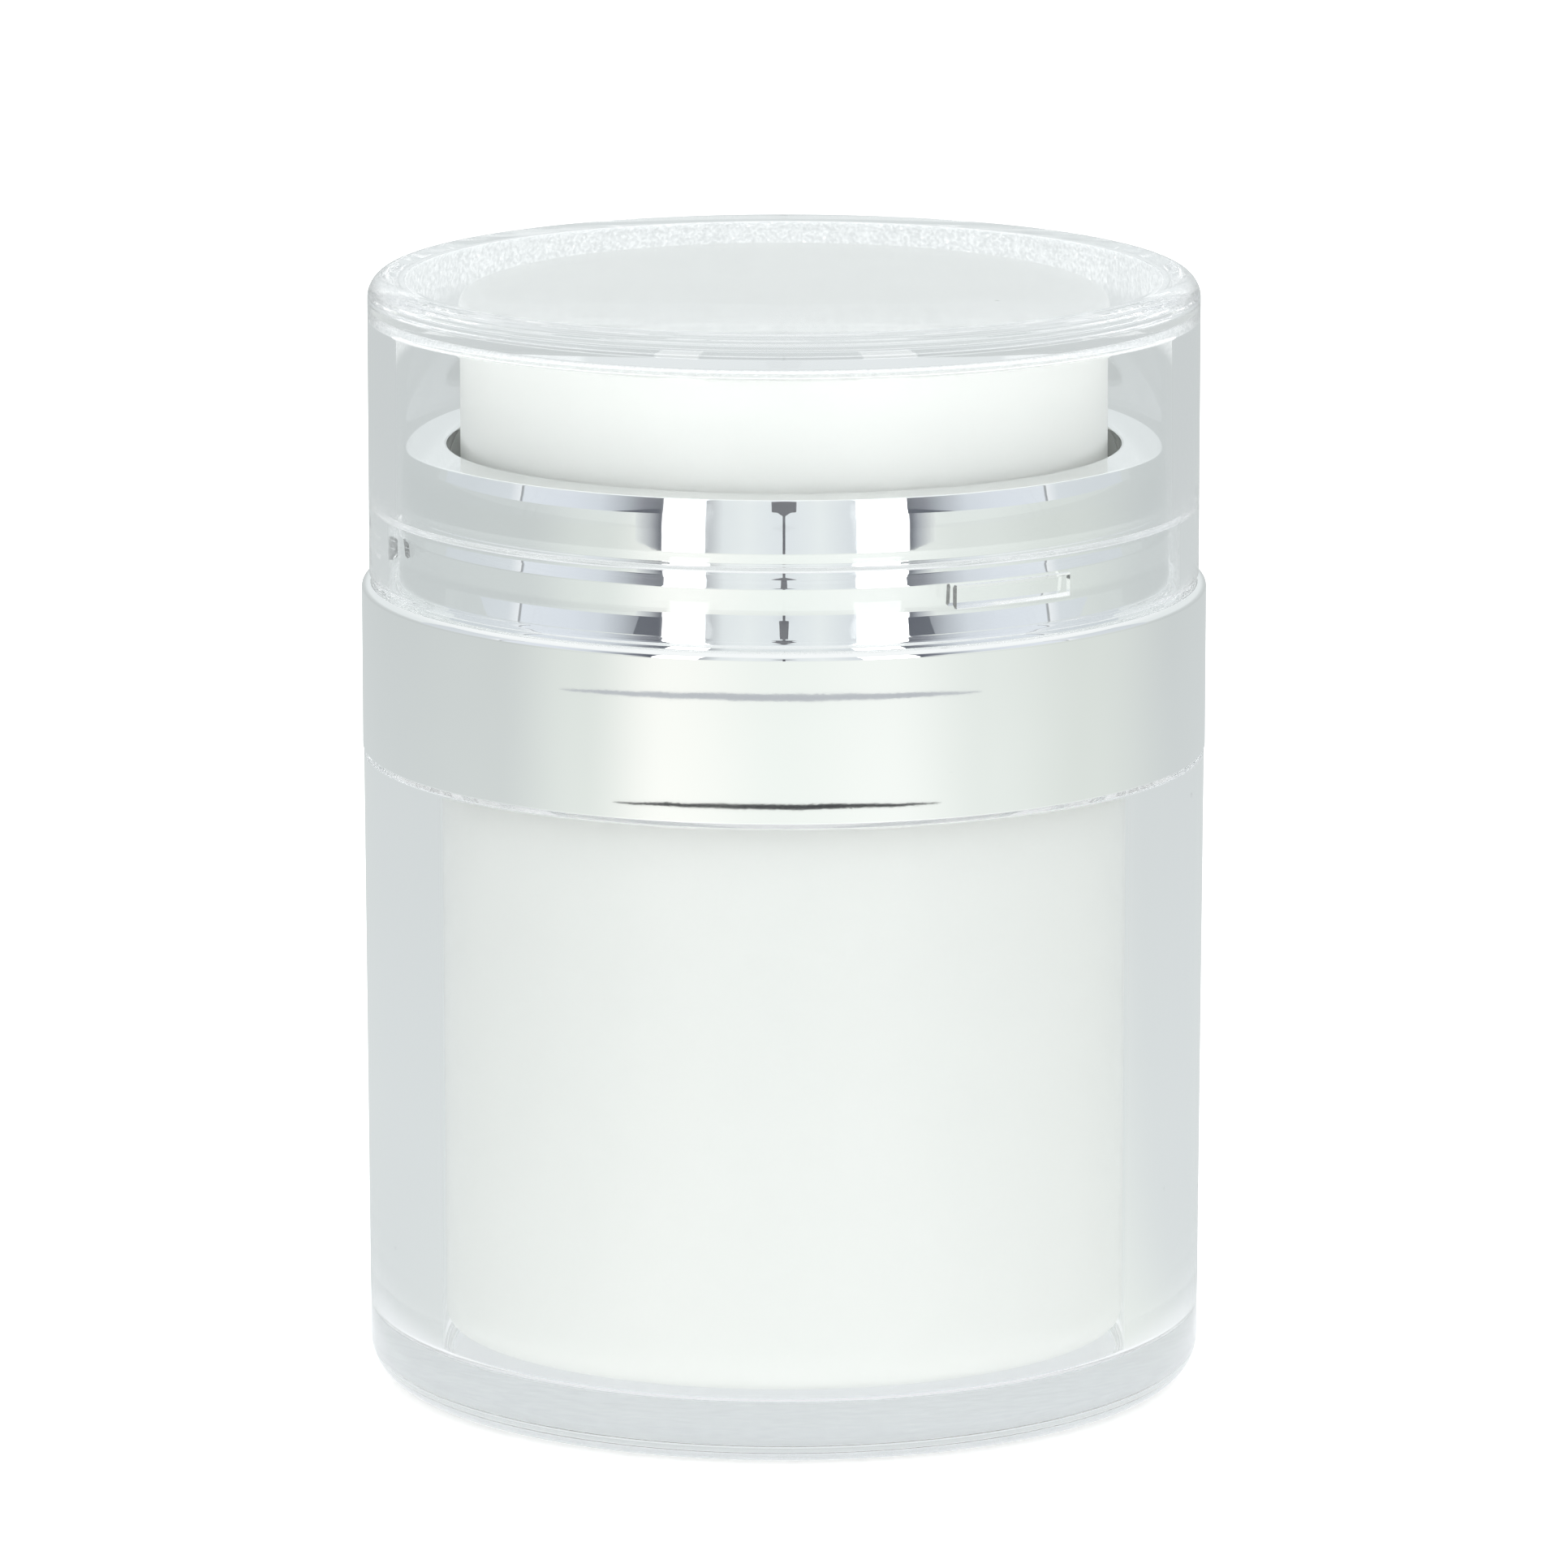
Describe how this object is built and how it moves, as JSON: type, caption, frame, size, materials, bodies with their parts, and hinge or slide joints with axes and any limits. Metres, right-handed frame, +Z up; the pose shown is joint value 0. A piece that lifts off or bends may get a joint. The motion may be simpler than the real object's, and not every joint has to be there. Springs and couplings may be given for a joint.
{
  "type": "pump cream jar",
  "caption": "Round press-top airless cream jar with a clear double wall, white inner cup, bright collar, white press head and clear push-fit cap.",
  "frame": {"origin": "centre of the foot ring, on the surface that the jar stands on", "axes": "+Z up along the jar's centre line, towards the cap; -Y faces the viewer of the picture, +X is to its right"},
  "size_m": [0.062, 0.062, 0.0821],
  "materials": {
    "clear_acrylic": "clear, polished, thick-walled acrylic",
    "white_plastic": "white moulded plastic, satin gloss",
    "bright_metal": "mirror-bright silver metallising on moulded plastic",
    "natural_plastic": "uncoloured, slightly milky moulded plastic",
    "soft_seal": "soft pale sealing plastic",
    "spring_steel": "drawn stainless spring wire"
  },
  "bodies": {
    "jar": {"outer_jar": "clear_acrylic", "inner_cup": "white_plastic"},
    "follower": {"follower_piston": "natural_plastic"},
    "thread_rise": {"neck_gasket": "soft_seal"},
    "pump_unit": {"collar_sleeve": "bright_metal", "collar_insert": "white_plastic", "pump_gasket": "soft_seal", "pump_housing": "natural_plastic", "lock_ring": "natural_plastic", "return_spring": "spring_steel"},
    "head": {"press_head": "white_plastic", "pump_stem": "white_plastic", "stem_foot": "natural_plastic"},
    "plunger": {"plunger_seal": "soft_seal"},
    "inlet_flap": {"inlet_valve": "soft_seal"},
    "outlet_flap": {"outlet_valve": "soft_seal"},
    "cap": {"over_cap": "clear_acrylic"}
  },
  "joints": [
    {"name": "follower_rise", "type": "slide", "parent": "jar", "child": "follower", "axis": [0, 0, 1], "range_m": [0, 0.034]},
    {"name": "collar_rise", "type": "slide", "parent": "jar", "child": "thread_rise", "axis": [0, 0, 1], "range_m": [0, 0.0048]},
    {"name": "collar_unscrew", "type": "hinge", "parent": "thread_rise", "child": "pump_unit", "pos_m": [0, 0, 0.0568], "axis": [0, 0, 1], "range_deg": [0, 540]},
    {"name": "head_press", "type": "slide", "parent": "pump_unit", "child": "head", "axis": [0, 0, -1], "range_m": [0, 0.0055], "stiffness_N_per_m": 1200, "springref_m": -0.002, "deforming": ["return_spring"]},
    {"name": "plunger_slip", "type": "slide", "parent": "head", "child": "plunger", "axis": [0, 0, 1], "range_m": [0, 0.001]},
    {"name": "inlet_valve_lift", "type": "slide", "parent": "pump_unit", "child": "inlet_flap", "axis": [0, 0, 1], "range_m": [0, 0.0008]},
    {"name": "outlet_valve_lift", "type": "slide", "parent": "head", "child": "outlet_flap", "axis": [0, 0, 1], "range_m": [0, 0.0007]},
    {"name": "cap_pull", "type": "slide", "parent": "pump_unit", "child": "cap", "axis": [0, 0, 1], "range_m": [0, 0.03]}
  ],
  "couplings": [
    {"joint": "collar_rise", "follows": "collar_unscrew", "m_per_rad": 0.0005093}
  ]
}
